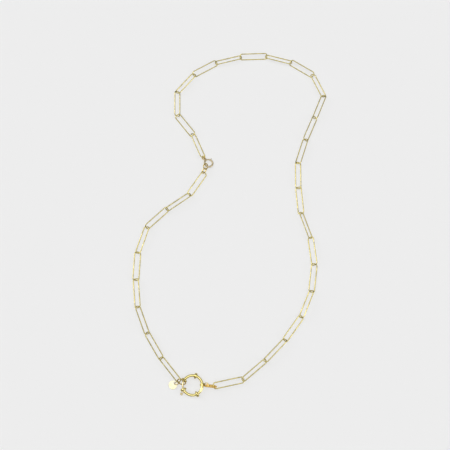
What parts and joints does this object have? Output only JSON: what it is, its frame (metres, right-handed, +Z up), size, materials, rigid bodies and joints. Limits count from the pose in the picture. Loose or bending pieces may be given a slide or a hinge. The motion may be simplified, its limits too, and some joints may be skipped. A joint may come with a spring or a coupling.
{
  "type": "link chain necklace",
  "caption": "Fine gold-coloured necklace of long oval wire links with a large round clasp and small round tag at the front and a spring ring clasp at the back, lying closed.",
  "frame": {"origin": "on the surface that the necklace lies on, below the middle of its overall box", "axes": "+Z up from the surface; +Y along the loop's length, from the large front clasp towards the far end; +X to the right seen from above"},
  "size_m": [0.0965, 0.1784, 0.0055],
  "materials": {
    "chain_gold": "polished gold plating, fine polishing marks along the wire",
    "clasp_gold": "polished gold plating",
    "bolt_gold": "polished pale gold plating, rubbed by use",
    "ring_gold": "polished warm gold plating",
    "tag_gold": "mirror-polished pale gold plating"
  },
  "bodies": {
    "chain": {"link_01": "chain_gold", "link_02": "chain_gold", "link_03": "chain_gold", "link_04": "chain_gold", "link_05": "chain_gold", "link_06": "chain_gold", "link_07": "chain_gold", "link_08": "chain_gold", "link_09": "chain_gold", "link_10": "chain_gold", "link_11": "chain_gold", "link_12": "chain_gold", "link_13": "chain_gold", "link_14": "chain_gold", "link_15": "chain_gold", "link_16": "chain_gold", "link_17": "chain_gold", "link_18": "chain_gold", "link_19": "chain_gold", "link_20": "chain_gold", "link_21": "chain_gold", "link_22": "chain_gold", "link_23": "chain_gold", "link_24": "chain_gold", "link_25": "chain_gold", "link_26": "chain_gold", "link_27": "chain_gold", "link_28": "chain_gold", "link_29": "chain_gold", "link_30": "chain_gold", "link_31": "chain_gold", "link_32": "chain_gold", "front_ring": "clasp_gold", "front_jump_ring": "ring_gold", "hook_ring": "ring_gold", "tag_ring": "ring_gold", "tag": "tag_gold", "back_ring": "clasp_gold", "upper_jump_ring": "ring_gold", "end_ring_1": "ring_gold", "end_ring_2": "ring_gold"},
    "front_lever": {"front_bolt": "bolt_gold"},
    "back_lever": {"back_bolt": "bolt_gold"}
  },
  "joints": [
    {"name": "front_lever_slide", "type": "hinge", "parent": "chain", "child": "front_lever", "pos_m": [-0.01895, -0.084, 0.0014], "axis": [0, 0, 1], "range_deg": [0, 46], "stiffness_Nm_per_rad": 0.006, "springref_deg": -20.05},
    {"name": "back_lever_slide", "type": "hinge", "parent": "chain", "child": "back_lever", "pos_m": [-0.01238, 0.02639, 0.00087], "axis": [-0.1715, -0.0836, -0.9816], "range_deg": [0, 38], "stiffness_Nm_per_rad": 0.002, "springref_deg": -17.19}
  ]
}
